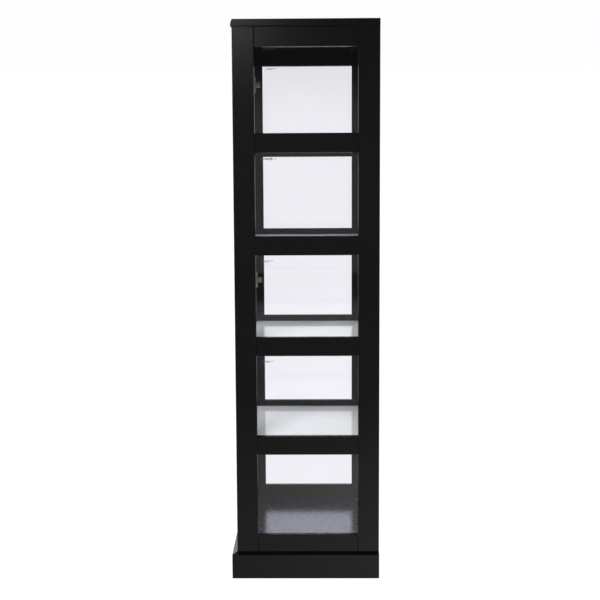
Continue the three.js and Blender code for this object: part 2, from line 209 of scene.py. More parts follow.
def softbox(name, place, aim, size, watts):
    """A square area light at place, turned towards aim. Places and size are in metres."""
    data = bpy.data.lights.new(name, "AREA")
    data.shape = "SQUARE"
    data.size = size
    data.energy = watts
    light = bpy.data.objects.new(name, data)
    light.location = place
    light.rotation_euler = (Vector(aim) - Vector(place)).to_track_quat("-Z", "Y").to_euler()
    light.visible_camera = False
    light.visible_transmission = False
    bpy.context.scene.collection.objects.link(light)
    return light


key = softbox("key_softbox", place=(7.4, -1.3, 3.5), aim=(0, 0, 1.0), size=4.5, watts=1600)
key.visible_glossy = False  # the baffle
card = softbox("gloss_card", place=(3.7, -0.52, 2.28), aim=(0.3, -0.2, 1.75), size=0.3, watts=1.9)
print("lights:", key.name, card.name)

# %% [markdown]
# The floor is one large pale sheet. Real cyclorama floors are lit until they burn out to white,
# so the sheet glows a little, which leaves only a soft contact shadow.

# %% Floor
FLOOR_HALF_SIZE = 12.0
FLOOR_MOTTLE_MM = 400
FLOOR_GLOW_SEEN = 1.07
# What the sheet gives to the cabinet, as limits in metres and the glow or its share at each: it
# falls off towards the camera, past the end of the lit sheet, and is stronger at the back.
FLOOR_CHANGES = {
    "towards camera": ("X", 0.4, 3.6, 0.56, 0.06),
    "towards back": ("Y", -0.4, 0.4, 0.74, 1.28),
}

material, tree = new_material("matt_white_cyclorama_paint")
place = add_node(tree, "TexCoord").outputs["Object"]
mottle = add_node(tree, "TexNoise", {"Vector": place, "Scale": per_mm(FLOOR_MOTTLE_MM)})
pale = add_node(tree, "MapRange", {"Value": mottle.outputs["Fac"], "To Min": 0.045, "To Max": 0.055})
paint = add_node(tree, "BsdfDiffuse", {"Color": pale.outputs[0]})
across = add_node(tree, "SeparateXYZ", {"Vector": place})
sheet = smooth_changes(tree, across.outputs, FLOOR_CHANGES)
given = add_node(tree, "Math", {0: sheet["towards camera"], 1: sheet["towards back"]}, operation="MULTIPLY")
glow = add_node(tree, "Mix", {"Factor": bounces(tree), "A": FLOOR_GLOW_SEEN, "B": given.outputs[0]})
lit = add_node(tree, "Emission", {"Color": (1, 1, 1, 1), "Strength": glow.outputs[0]})
both = add_node(tree, "AddShader", {0: paint.outputs[0], 1: lit.outputs[0]})
add_node(tree, "OutputMaterial", {"Surface": both.outputs[0]})

floor_mesh = bmesh.new()
bmesh.ops.create_grid(floor_mesh, x_segments=8, y_segments=8, size=FLOOR_HALF_SIZE)
floor_data = bpy.data.meshes.new("studio_floor")
floor_mesh.to_mesh(floor_data)
floor_mesh.free()
floor_data.materials.append(material)
studio_floor = bpy.data.objects.new("studio_floor", floor_data)
bpy.context.scene.collection.objects.link(studio_floor)
print("floor sheet:", 2 * FLOOR_HALF_SIZE, "m square")

# %% [markdown]
# ## Rounding the joiner's edges
# The CAD boards already have their eased edges as small flats. Sandpaper and three coats of
# lacquer leave those flats round, and the round edge is what catches the light beside a joint.
# Modifiers do it without touching the CAD mesh: weld the triangles, merge the flat ones, bevel
# what is still sharp, and weight the normals so that the big faces stay flat.

# %% Edge rounding
WELD_MM = 0.01
FLAT_DEGREES = 1  # faces that meet at less than this are one flat face
EDGE_DEGREES = 25  # faces that meet at more than this have an edge to round


def round_edges(piece, radius_mm, segments=3):
    """Rounds the piece's sharp edges with modifiers, without touching its mesh."""
    weld = piece.modifiers.new("weld", "WELD")
    weld.merge_threshold = WELD_MM * MM
    flats = piece.modifiers.new("flats", "DECIMATE")
    flats.decimate_type = "DISSOLVE"
    flats.angle_limit = math.radians(FLAT_DEGREES)
    bevel = piece.modifiers.new("rounding", "BEVEL")
    bevel.width = radius_mm * MM
    bevel.segments = segments
    bevel.limit_method = "ANGLE"
    bevel.angle_limit = math.radians(EDGE_DEGREES)
    bevel.use_clamp_overlap = True
    piece.data.polygons.foreach_set("use_smooth", [True] * len(piece.data.polygons))
    normals = piece.modifiers.new("normals", "WEIGHTED_NORMAL")
    normals.keep_sharp = False


def dress(name, material, radius_mm, segments=3):
    """Gives a CAD node its material and its rounded edges."""
    piece = nodes[name]
    for slot in piece.material_slots:
        slot.link = "OBJECT"
        slot.material = material
    round_edges(piece, radius_mm, segments)


# %% [markdown]
# ## Black lacquered wood
# Poplar or rubberwood boards, filled, sprayed with black nitrocellulose lacquer and rubbed to a
# satin. The colour is a near black. Three things show: a fine orange peel left by the spray gun,
# a ghost of the grain along each board where the filler shrank, and a sheen that varies a little
# with the rubbing. The grain runs along the board, so each direction gets its own material.

# %% Black lacquer
LACQUER_BLACK = linear("#020202")
LACQUER_WORN = linear("#050404")
LACQUER_IOR = 1.46
PEEL_MM = 3.0  # real orange peel is nearer 1 mm, too fine to show at this distance
GRAIN_WIDTH_MM = 2.5
GRAIN_LENGTH_MM = 90.0
RUBBING_MM = 45.0
RUBBED = (0.20, 0.23)  # the roughness where it is rubbed most, and where least


def black_lacquer(name, grain_axis):
    """Satin black lacquer on wood whose grain runs along this axis: 0, 1 or 2 for X, Y or Z."""
    material, tree = new_material(name)
    place = add_node(tree, "TexCoord").outputs["Object"]
    stretch = [per_mm(GRAIN_WIDTH_MM)] * 3
    stretch[grain_axis] = per_mm(GRAIN_LENGTH_MM)
    along_board = add_node(tree, "Mapping", {"Vector": place, "Scale": stretch})
    grain = add_node(tree, "TexNoise", {"Vector": along_board.outputs[0], "Scale": 1.0, "Detail": 3.0})
    peel = add_node(tree, "TexNoise", {"Vector": place, "Scale": per_mm(PEEL_MM), "Detail": 1.0})
    rubbing = add_node(tree, "TexNoise", {"Vector": place, "Scale": per_mm(RUBBING_MM), "Detail": 4.0})
    sheen = add_node(tree, "MapRange", {"Value": rubbing.outputs["Fac"], "From Min": 0.3,
                                        "From Max": 0.7, "To Min": RUBBED[0], "To Max": RUBBED[1]})
    colour = add_node(tree, "Mix", {"Factor": grain.outputs["Fac"], "A": LACQUER_BLACK,
                                    "B": LACQUER_WORN}, data_type="RGBA")
    grain_bump = add_node(tree, "Bump", {"Height": grain.outputs["Fac"], "Strength": 0.12,
                                         "Distance": 0.1 * MM})
    peel_bump = add_node(tree, "Bump", {"Height": peel.outputs["Fac"], "Strength": 0.14,
                                        "Distance": 0.1 * MM, "Normal": grain_bump.outputs[0]})
    shader = add_node(tree, "BsdfPrincipled", {"Base Color": colour.outputs["Result"],
                                               "Roughness": sheen.outputs[0],
                                               "IOR": LACQUER_IOR,
                                               "Specular IOR Level": 0.33,  # the matting agent
                                               "Normal": peel_bump.outputs[0]})
    add_node(tree, "OutputMaterial", {"Surface": shader.outputs[0]})
    return material


lacquer = [black_lacquer("black_lacquer_grain_" + name, axis) for axis, name in enumerate("xyz")]
print("lacquer materials:", [m.name for m in lacquer])

# %% [markdown]
# Each board gets the lacquer whose grain runs the board's own way: up the stiles and the back
# panel, to the back along each side's rails, cleats and plinth, and across all the others.

# %% Which way each board's grain runs
ACROSS, TO_THE_BACK, UP = 0, 1, 2
BOARD_EDGE_MM = 0.6
PLINTH_EDGE_MM = 2.0  # the plinth takes the knocks, so its edges are sanded rounder
grain_of = {"top_board": ACROSS, "back_panel": UP, "plinth_front": ACROSS,
            "door_stile_hinge_side": UP, "door_stile_lock_side": UP,
            "door_rail_top": ACROSS, "door_rail_bottom": ACROSS}
for side in ("left", "right"):
    grain_of[f"plinth_{side}"] = TO_THE_BACK
    grain_of[f"{side}_stile_front"] = UP
    grain_of[f"{side}_stile_rear"] = UP
    for rail in ("bottom", "1", "2", "3", "4", "top"):
        grain_of[f"{side}_rail_{rail}"] = TO_THE_BACK
    for level in range(1, 5):
        grain_of[f"{side}_cleat_{level}"] = TO_THE_BACK
for name, axis in grain_of.items():
    dress(name, lacquer[axis], PLINTH_EDGE_MM if "plinth" in name else BOARD_EDGE_MM)
print("lacquered boards:", len(grain_of))

# %% [markdown]
# ## The floor of the showcase
# The floor panel is the one board that was rubbed out and polished, so it mirrors the far pane,
# dimly and softly. A clear coat over a glossy black gives a stronger mirror than lacquer alone.
# The coat has a slight blue tint, which makes the mirror a little colder than the lacquer around
# it, and dust and hand marks lie on it in faint smudges.

# %% Polished floor panel
SMUDGE_MM = 30
RIPPLE_MM = 35
material, tree = new_material("polished_black_lacquer")
place = add_node(tree, "TexCoord").outputs["Object"]
haze = add_node(tree, "TexNoise", {"Vector": place, "Scale": per_mm(SMUDGE_MM), "Detail": 5.0})
smudge = add_node(tree, "MapRange", {"Value": haze.outputs["Fac"], "From Min": 0.4, "From Max": 0.62})
polish = add_node(tree, "MapRange", {"Value": smudge.outputs[0], "To Min": 0.2, "To Max": 0.28})
dust = add_node(tree, "Mix", {"Factor": smudge.outputs[0], "A": linear("#0d0d0f"),
                              "B": linear("#19181b")}, data_type="RGBA")
ripple = add_node(tree, "TexNoise", {"Vector": place, "Scale": per_mm(RIPPLE_MM), "Detail": 0.0})
relief = add_node(tree, "Bump", {"Height": ripple.outputs["Fac"], "Strength": 0.3, "Distance": 0.3 * MM})
shader = add_node(tree, "BsdfPrincipled", {"Base Color": dust.outputs["Result"],
                                           "Roughness": polish.outputs[0], "IOR": 1.55,
                                           "Coat Weight": 1.0, "Coat Roughness": 0.18,
                                           "Coat IOR": 1.58, "Coat Tint": linear("#dde1ff"),
                                           "Normal": relief.outputs[0],
                                           "Coat Normal": relief.outputs[0]})
add_node(tree, "OutputMaterial", {"Surface": shader.outputs[0]})
dress("floor_panel", material, radius_mm=0.8)
print("floor panel:", material.name)

# %% [markdown]
# ## Clear float glass
# Four millimetre float glass has a perfectly smooth face on both sides, with only a very long,
# shallow roll in it, and a faint cold tint. The panes are real closed slabs, so each one bends
# light twice and mirrors it four times, as a real one does.

# %% Clear glass
GLASS_IOR = 1.52
ROLL_MM = 160.0

clear_glass, tree = new_material("clear_float_glass")
place = add_node(tree, "TexCoord").outputs["Object"]
roll = add_node(tree, "TexNoise", {"Vector": place, "Scale": per_mm(ROLL_MM), "Detail": 0.0})
relief = add_node(tree, "Bump", {"Height": roll.outputs["Fac"], "Strength": 0.15, "Distance": 0.1 * MM})
tint = add_node(tree, "Mix", {"Factor": roll.outputs["Fac"], "A": linear("#fafafd"),
                              "B": linear("#f8f8fb")}, data_type="RGBA")
shader = add_node(tree, "BsdfPrincipled", {"Base Color": tint.outputs["Result"], "Roughness": 0.0,
                                           "IOR": GLASS_IOR, "Transmission Weight": 1.0,
                                           "Normal": relief.outputs[0]})
path = add_node(tree, "LightPath")
light_way = add_node(tree, "Math", {0: path.outputs["Is Shadow Ray"], 1: path.outputs["Is Diffuse Ray"]},
                     operation="MAXIMUM")
clear = add_node(tree, "BsdfTransparent", {"Color": linear("#f4f5f7")})
both = add_node(tree, "MixShader", {0: light_way.outputs[0], 1: shader.outputs[0], 2: clear.outputs[0]})
add_node(tree, "OutputMaterial", {"Surface": both.outputs[0]})
panes = [f"{side}_pane_{level}" for side in ("left", "right") for level in range(1, 6)] + ["door_glass"]
for name in panes:
    dress(name, clear_glass, radius_mm=0.4, segments=2)
print("panes:", len(panes))

# %% [markdown]
# ## Satin glass shelves
# The shelves are eight millimetres thick and acid-etched underneath. From above they look milky:
# the etched face scatters the light, while the top face is still a smooth glass mirror at a low
# angle. The milk is a plain light-coloured base that also lets light through, and the smooth
# top is the specular layer over it. The ground edges are darker and greener: they are the faces
# whose normals lie level.

# %% Satin glass
ETCH_MM = 6  # a real frost is far finer, too fine to show
satin_glass, tree = new_material("acid_etched_satin_glass")
place = add_node(tree, "TexCoord").outputs["Object"]
etch = add_node(tree, "TexNoise", {"Vector": place, "Scale": per_mm(ETCH_MM), "Detail": 6.0})
upright = add_node(tree, "SeparateXYZ", {"Vector": add_node(tree, "NewGeometry").outputs["Normal"]})
face = add_node(tree, "Math", {0: upright.outputs["Z"]}, operation="ABSOLUTE")
edge = add_node(tree, "MapRange", {"Value": face.outputs[0], "From Min": 0.2, "From Max": 0.8,
                                   "To Min": 1.0, "To Max": 0.0})
milk = add_node(tree, "Mix", {"Factor": etch.outputs["Fac"], "A": linear("#e1e0dd"),
                              "B": linear("#e9e7e4")}, data_type="RGBA")
colour = add_node(tree, "Mix", {"Factor": edge.outputs[0], "A": milk.outputs["Result"],
                                "B": linear("#93a8a1")}, data_type="RGBA")
body = add_node(tree, "BsdfPrincipled", {"Base Color": colour.outputs["Result"], "Roughness": 0.07,
                                         "IOR": GLASS_IOR, "Specular IOR Level": 0.44})
through = add_node(tree, "BsdfTranslucent", {"Color": linear("#858a8d")})
both = add_node(tree, "AddShader", {0: body.outputs[0], 1: through.outputs[0]})
add_node(tree, "OutputMaterial", {"Surface": both.outputs[0]})
for level in range(1, 5):
    dress(f"shelf_{level}", satin_glass, radius_mm=0.8)
print("satin shelves: 4")

# %% [markdown]
# ## Mesh helpers for the small hardware
# The hinges, the lock, the lamp and the screws are small, and a viewer comes close to them. Each
# is made in millimetres around its own origin, from two moves that a toolmaker knows too: an
# outline pressed from sheet, and a profile turned on a lathe. What is milled out afterwards is a
# Boolean cut. The finished mesh is then scaled to metres and set where the CAD piece stands.

# %% Plates, turned pieces and cuts


def plate(outline, low, high):
    """A sheet with this outline in X and Y, from low to high in Z."""
    mesh = bmesh.new()
    face = mesh.faces.new([mesh.verts.new((x, y, low)) for x, y in outline])
    raised = bmesh.ops.extrude_face_region(mesh, geom=[face])["geom"]
    upper = [v for v in raised if isinstance(v, bmesh.types.BMVert)]
    bmesh.ops.translate(mesh, verts=upper, vec=(0, 0, high - low))
    bmesh.ops.recalc_face_normals(mesh, faces=mesh.faces)
    return mesh


def turned(profile, steps=48):
    """A profile of (radius, height) points, turned round Z. It starts and ends on the axis, or
    closes on itself."""
    mesh = bmesh.new()
    rings = []
    for radius, height in profile:
        turns = [0.0] if radius == 0 else [2 * math.pi * i / steps for i in range(steps)]
        rings.append([mesh.verts.new((radius * math.cos(t), radius * math.sin(t), height)) for t in turns])
    open_profile = profile[0][0] == 0 and profile[-1][0] == 0
    pairs = zip(rings, rings[1:] if open_profile else rings[1:] + rings[:1])
    for lower, upper in pairs:
        for i in range(steps):
            corners = [lower[i % len(lower)], lower[(i + 1) % len(lower)],
                       upper[(i + 1) % len(upper)], upper[i % len(upper)]]
            mesh.faces.new(list(dict.fromkeys(corners)))
    bmesh.ops.recalc_face_normals(mesh, faces=mesh.faces)
    return mesh


def rod(radius, low, high, steps=24):
    """A plain cylinder along Z: a pin, or the drill that makes a hole."""
    return turned([(0, low), (radius, low), (radius, high), (0, high)], steps)


def moved(mesh, matrix):
    """The same mesh, moved by the matrix."""
    mesh.transform(matrix)
    return mesh


def shifted(mesh, x, y, z):
    """The same mesh, shifted by these distances."""
    return moved(mesh, Matrix.Translation((x, y, z)))


def join(parts):
    """One mesh that holds all the parts, which are used up."""
    whole = bmesh.new()
    for part in parts:
        data = bpy.data.meshes.new("part")
        part.to_mesh(data)
        part.free()
        whole.from_mesh(data)
        bpy.data.meshes.remove(data)
    return whole


def loose_object(mesh, name="loose"):
    """The mesh as an object in the scene. The mesh is used up."""
    data = bpy.data.meshes.new(name)
    mesh.to_mesh(data)
    mesh.free()
    piece = bpy.data.objects.new(name, data)
    bpy.context.scene.collection.objects.link(piece)
    return piece


def carved(mesh, *cutters):
    """The mesh with each cutter taken out of it, all by exact Boolean cuts."""
    body = loose_object(mesh)
    tools = [loose_object(cutter) for cutter in cutters]
    for tool in tools:
        cut = body.modifiers.new("cut", "BOOLEAN")
        cut.object = tool
        cut.solver = "EXACT"
    evaluated = body.evaluated_get(bpy.context.evaluated_depsgraph_get())
    result = bmesh.new()
    result.from_mesh(evaluated.to_mesh())
    for loose in [body] + tools:
        data = loose.data
        bpy.data.objects.remove(loose)
        bpy.data.meshes.remove(data)
    return result


def rounded_rectangle(width, height, radius, steps=6):
    """Outline points of a rectangle about the origin, with rounded corners."""
    points = []
    for corner, (sx, sy) in enumerate(((1, 1), (-1, 1), (-1, -1), (1, -1))):
        for i in range(steps + 1):
            angle = math.pi / 2 * (corner + i / steps)
            points.append((sx * (width / 2 - radius) + radius * math.cos(angle),
                           sy * (height / 2 - radius) + radius * math.sin(angle)))
    return points


def make_piece(name, mesh, place, material, body=None, edge_mm=None, takes=()):
    """Turns a mesh in millimetres into a piece. Its place is a matrix in metres, its body is the
    one that it moves with, and takes names the CAD nodes that it stands in for."""
    mesh.transform(place @ Matrix.Scale(MM, 4))
    piece = loose_object(mesh, name)
    piece.data.materials.append(material)
    if edge_mm:
        round_edges(piece, edge_mm, 2)
    if body:
        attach(piece, body)
    if takes:
        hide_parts(*takes)
    return piece


# How a piece that is made flat in X and Y is turned to stand on the cabinet.
FACING_RIGHT = Matrix(((0, 0, 1, 0), (1, 0, 0, 0), (0, 1, 0, 0), (0, 0, 0, 1)))  # its top faces +X
FACING_BACK = Matrix(((-1, 0, 0, 0), (0, 0, 1, 0), (0, 1, 0, 0), (0, 0, 0, 1)))  # its top faces +Y
FACING_FRONT = Matrix(((1, 0, 0, 0), (0, 0, -1, 0), (0, 1, 0, 0), (0, 0, 0, 1)))  # its top faces -Y
# Its top faces +Y, its X points up and its Y points to +X, for a section that runs to the back.
ALONG_DEPTH = Matrix(((0, 1, 0, 0), (0, 0, 1, 0), (1, 0, 0, 0), (0, 0, 0, 1)))
print("a plain rod has", len(rod(5, 0, 10).faces), "faces")

# %% [markdown]
# ## Metal finishes
# The hinges are pressed steel with bright nickel plate: warm, a little blurred, with the fine
# drawing lines of the press tool. The lock is die-cast zinc with chrome plate, colder and
# smoother. The screws are zinc-plated steel. A metal's colour is its mirror's colour, so only the
# colour and the roughness differ, and a fine noise keeps both from being dead even.

# %% Nickel, chrome and zinc


def plated_metal(name, pale, deep, smooth, rough, mark_mm, marks_along=None):
    """Plated metal: two colours and two roughnesses, mixed by marks about mark_mm wide."""
    material, tree = new_material(name)
    stretch = [per_mm(mark_mm)] * 3
    if marks_along is not None:
        stretch[marks_along] = per_mm(mark_mm * 20)
    place = add_node(tree, "Mapping", {"Vector": add_node(tree, "TexCoord").outputs["Object"],
                                       "Scale": stretch})
    marks = add_node(tree, "TexNoise", {"Vector": place.outputs[0], "Scale": 1.0, "Detail": 3.0})
    colour = add_node(tree, "Mix", {"Factor": marks.outputs["Fac"], "A": linear(pale), "B": linear(deep)},
                      data_type="RGBA")
    sheen = add_node(tree, "MapRange", {"Value": marks.outputs["Fac"], "From Min": 0.3, "From Max": 0.7,
                                        "To Min": smooth, "To Max": rough})
    relief = add_node(tree, "Bump", {"Height": marks.outputs["Fac"], "Strength": 0.12,
                                     "Distance": 0.05 * MM})
    shader = add_node(tree, "BsdfPrincipled", {"Base Color": colour.outputs["Result"], "Metallic": 1.0,
                                               "Roughness": sheen.outputs[0],
                                               "Normal": relief.outputs[0]})
    add_node(tree, "OutputMaterial", {"Surface": shader.outputs[0]})
    return material


nickel = plated_metal("bright_nickel_plate", "#dbd3c6", "#c0b6a8", 0.36, 0.48, 0.5, marks_along=2)
chrome = plated_metal("bright_chrome_plate", "#d6d7d8", "#c8cacb", 0.10, 0.16, 1.5)
zinc = plated_metal("zinc_plated_steel", "#b5b6b4", "#989a99", 0.28, 0.4, 0.8)
black_screw = plated_metal("black_oxide_steel", "#2a2a2c", "#1b1b1d", 0.38, 0.5, 0.8)

# %% [markdown]
# ## Screws
# Every screw is a pan head or a countersunk head with its cross recess cut in. It is made once for
# each row and copied along it. The shanks are inside the boards and are left out.

# %% Screw heads


def cross_recess(width, depth, top):
    """Two crossed wedges that narrow downwards, as a cross-point bit does."""
    above = top + 1
    bottom = top - depth
    wedge = [(-width / 2, above), (-width / 4, bottom), (width / 4, bottom), (width / 2, above)]
    blades = []
    for quarter in range(2):
        upright = turn(quarter * math.pi / 2, "Z") @ turn(math.pi / 2, "X")
        blades.append(moved(plate(wedge, -width / 9, width / 9), upright))
    return blades


def screw_head(radius, height, flush=False):
    """A screw head that stands on Z = 0: a low dome, or a nearly flat countersunk face."""
    steps = 6
    crown = 0.35 if flush else 1.0  # the share of the height that is domed
    dome = []
    for i in range(0 if flush else 1, steps):
        angle = math.pi / 2 * i / steps
        dome.append((radius * math.cos(angle) ** 0.6, height * (1 - crown + crown * math.sin(angle))))
    head = turned([(0, 0), (radius, 0)] + dome + [(0, height)], 28)
    return carved(head, *cross_recess(radius * 1.15, height * 0.75, height))


def copies(mesh, places):
    """One mesh with a copy of this mesh at each place. The mesh is used up."""
    parts = [moved(mesh.copy(), place) for place in places]
    mesh.free()
    return join(parts)


print("a pan head has", len(screw_head(4.0, 1.6).faces), "faces")

# %% [markdown]
# ## Concealed hinges
# The cabinet's half is a winged mounting plate on the side frame, with a channel-shaped arm
# screwed on it. The door's half is a 35 mm cup let into the stile. Two pairs of links join them
# in the real hinge: folded in the cup when the door is shut, and drawn out in an arc when it is
# open. Here each link is made straight, from its pin on the arm to its pin in the cup.

# %% Hinge sizes, in millimetres
# The arm and its plate are measured from the side frame's face in X, from the arm's tip in Y and
# from the hinge's middle in Z. The cup is measured from its centre and the door's back face.
SHEET = 1.3
PLATE_CENTRE = 14.5
SADDLE_CENTRE = 21.5
PLATE_SCREWS = (-16, 16)  # up and down from the middle
ARM_LENGTH = 35
ARM_START = 3
ARM_HALF_WIDTH = 8
ARM_LOW = 6
ARM_TOP = 16
ARM_FOLD = 1.5  # how far the channel's two folded edges are rounded off
FIXING_SCREW = 27  # holds the arm on the plate, in a slot
FIXING_SLOT = 26
DEPTH_SCREW = 13  # a grub screw, sunk in the arm
CHEEKS = (-6.6, 5.3)  # the two side plates that hold the arm's pins
ARM_PINS = [(22.0, 2.2), (14.5, 4.5)]
CUP_PINS = [(8.0, -5.5), (-2.5, -6.5)]
CUP_WALL = 1.2
CUP_SCREWS = (-24, 24)
LINK_PAIRS = [((-4.9, -3.7), (3.7, 4.9)), ((-2.4, -0.4), (0.4, 2.4))]  # the outer and inner links
LINK_HALF_WIDTHS = (3.2, 2.8)


def mounting_plate():
    """A winged plate with two screw holes, and a raised saddle and rib that the arm sits on."""
    holes = [shifted(rod(2.4, -1, 3), 0, z, 0) for z in PLATE_SCREWS]
    wings = shifted(carved(plate(rounded_rectangle(15, 59, 7.4, 8), 0, 2), *holes), PLATE_CENTRE, 0, 0)
    saddle = shifted(plate(rounded_rectangle(33, 21, 2.5), 2, 4.4), SADDLE_CENTRE, 0, 0)
    rib = shifted(plate(rounded_rectangle(30, 13, 2), 4.4, 6), SADDLE_CENTRE, 0, 0)
    return moved(join([wings, saddle, rib]), FACING_RIGHT)


def hinge_arm():
    """A channel folded from sheet, open to the plate, with two cheeks and the pins in its nose."""
    outer, inner = ARM_HALF_WIDTH, ARM_HALF_WIDTH - SHEET
    right_half = [(outer - ARM_FOLD, ARM_TOP), (outer, ARM_TOP - ARM_FOLD), (outer, ARM_LOW),
                  (inner, ARM_LOW), (inner, ARM_TOP - SHEET)]
    left_half = [(-x, y) for x, y in reversed(right_half)]
    channel = moved(plate(right_half + left_half, ARM_START, ARM_LENGTH), ALONG_DEPTH)
    slot_cut = moved(plate(rounded_rectangle(12, 4.6, 2.2), ARM_TOP - 4, ARM_TOP + 2), FACING_RIGHT)
    grub_cut = moved(rod(2.6, 8, 18), FACING_RIGHT)
    channel = carved(channel, shifted(slot_cut, 0, FIXING_SLOT, 0), shifted(grub_cut, 0, DEPTH_SCREW, 0))
    cheek_outline = [(9, 9), (9, 3), (12, 0.4), (21, -0.4), (25, 0.2), (26.5, 2.4), (25, 4.8), (19, 6),
                     (14.5, 9)]
    cheeks = [plate(cheek_outline, z, z + SHEET) for z in CHEEKS]
    pins = [shifted(rod(1.8, -7.4, 7.4, 20), x, y, 0) for x, y in ARM_PINS]
    return join([channel, *cheeks, *pins])


def hinge_cup(radius, depth):
    """A drawn cup with a turned rim, and the flange that is screwed to the door."""
    holes = [shifted(rod(2.2, -3, 5), 0, z, 0) for z in CUP_SCREWS]
    flange = shifted(plate(rounded_rectangle(22, 58, 6), 0, CUP_WALL), -3, 0, 0)
    flange = carved(flange, rod(radius - CUP_WALL, -3, 5, 48), *holes)
    outside = [(0, -depth), (radius - 2, -depth), (radius - 0.6, 0.6 - depth), (radius, 2 - depth),
               (radius, 0)]
    inside = [(radius - CUP_WALL, 0), (radius - CUP_WALL, 2 * CUP_WALL - depth),
              (radius - 3, CUP_WALL - depth), (0, CUP_WALL - depth)]
    return moved(join([flange, turned(outside + inside)]), FACING_BACK)


def link(start, end, half_width, low, high):
    """A flat link between two pins in X and Y, cut into short lengths along it."""
    steps = 16
    worn = 0.25  # how far the long edges are rubbed off
    section = [(1, low + worn), (0.94, low), (-0.94, low), (-1, low + worn),
               (-1, high - worn), (-0.94, high), (0.94, high), (1, high - worn)]
    along_link = (end - start).normalized()
    aside = Vector((-along_link.y, along_link.x)) * half_width
    overrun = along_link * half_width
    mesh = bmesh.new()
    rows = []
    for i in range(steps + 1):
        spot = start - overrun + (end - start + 2 * overrun) * i / steps
        waist = math.sin(math.pi * (i + 0.6) / (steps + 1.2)) ** 0.25  # rounds the link's two ends
        rows.append([mesh.verts.new((*(spot + aside * waist * share), z)) for share, z in section])
    corners = len(section)
    for first, second in zip(rows, rows[1:]):
        for i in range(corners):
            mesh.faces.new([first[i], first[(i + 1) % corners], second[(i + 1) % corners], second[i]])
    mesh.faces.new(rows[0])
    mesh.faces.new(rows[-1])
    bmesh.ops.recalc_face_normals(mesh, faces=mesh.faces)
    return mesh


# %% [markdown]
# Each hinge is set where the CAD has its arm and its cup. The links belong to neither half: each
# one runs straight from the arm's pin on the cabinet to the cup's pin on the door.

# %% The three hinges
for number in (1, 2, 3):
    arm_low, arm_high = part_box(f"hinge_arm_{number}")
    cup_low, cup_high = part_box(f"hinge_cup_{number}")
    middle = (arm_low.z + arm_high.z) / 2
    cup_x = (cup_low.x + cup_high.x) / 2
    cup_radius = (cup_high.x - cup_low.x) / 2 / MM
    cup_depth = (cup_high.y - cup_low.y) / MM - CUP_WALL
    arm_place = Matrix.Translation((arm_low.x, arm_low.y, middle))
    cup_place = Matrix.Translation((cup_x, cup_high.y - CUP_WALL * MM, middle))

    spots = [Matrix.Translation((2, PLATE_CENTRE, z)) @ FACING_RIGHT @ turn(0.4 + z, "Z")
             for z in PLATE_SCREWS]
    plate_screws = copies(screw_head(4.0, 1.6), spots)
    fixing = Matrix.Translation((ARM_TOP, FIXING_SCREW, 0)) @ FACING_RIGHT @ turn(0.3, "Z")
    sunk = Matrix.Translation((ARM_TOP - 2 * SHEET, DEPTH_SCREW, 0)) @ FACING_RIGHT @ turn(1.1, "Z")
    arm_screws = join([moved(screw_head(3.9, 1.7), fixing), moved(screw_head(2.5, 1.6, flush=True), sunk)])
    spots = [Matrix.Translation((3, CUP_WALL, z)) @ FACING_BACK @ turn(0.7 + z, "Z") for z in CUP_SCREWS]
    cup_screws = copies(screw_head(3.6, 1.3), spots)
    pins = []
    for x, y in CUP_PINS:
        reach = math.sqrt((cup_radius - 1.4) ** 2 - x**2)  # to just inside the cup's wall
        pins.append(shifted(rod(1.6, -reach, reach, 20), x, y, 0))

    # Each piece's mesh, place, metal and body, and how much its edges are rounded.
    halves = {
        "plate": (mounting_plate(), arm_place, nickel, "cabinet", 0.35),
        "channel": (hinge_arm(), arm_place, nickel, "cabinet", 0.25),
        "plate_screws": (plate_screws, arm_place, nickel, "cabinet", 0.1),
        "arm_screws": (arm_screws, arm_place, nickel, "cabinet", 0.1),
        "bowl": (hinge_cup(cup_radius, cup_depth), cup_place, nickel, "door", 0.25),
        "cup_screws": (cup_screws, cup_place, nickel, "door", 0.1),
        "cup_pins": (join(pins), cup_place, zinc, "door", 0.2),
    }
    stands_in_for = {"channel": [f"hinge_arm_{number}"], "bowl": [f"hinge_cup_{number}"]}
    for part, (mesh, place, metal, body, edge_mm) in halves.items():
        make_piece(f"hinge_{part}_{number}", mesh, place, metal, body, edge_mm,
                   takes=stands_in_for.get(part, ()))

    for pair, levels in enumerate(LINK_PAIRS):
        start = arm_place.translation + Vector((*ARM_PINS[pair], 0)) * MM
        end = cup_place.translation + Vector((*CUP_PINS[pair], 0)) * MM
        flat = [link(start.xy / MM, end.xy / MM, LINK_HALF_WIDTHS[pair], low, high) for low, high in levels]
        piece = make_piece(f"hinge_links_{number}_{pair + 1}", join(flat),
                           Matrix.Translation((0, 0, middle)), zinc)
        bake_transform(piece)

# %% [markdown]
# ## Cam lock
# A chrome barrel is held in the door's stile by a hexagonal nut. The key plug turns in it, and
# carries the cam behind the door. The keyway is a slot with a step in it, as a real key has a
# grooved side.

# %% Lock sizes, in millimetres
BORE = 6.8
BARREL_RADIUS = 9.0
THREAD_PITCH = 1.4  # about twice as coarse as real, so that it shows
THREAD_DEPTH = 0.6
THREAD_TURNS = 9
FLANGE_RADIUS = 11
FLANGE_THICKNESS = 1.7
NUT_RADIUS = 11.5
NUT_THICKNESS = 2.2
PLUG_RADIUS = 6.5
KEYWAY_DEPTH = 5
KEYWAY = [(-0.5, -3.8), (0.9, -3.8), (0.9, -1.2), (0.2, -1.2), (0.2, 1.0), (0.9, 1.0), (0.9, 3.6),
          (-0.5, 3.6)]
CAM_THICKNESS = 2.5
CAM_CORNER = 4.5
CAM_HOLE_BELOW_TIP = 8

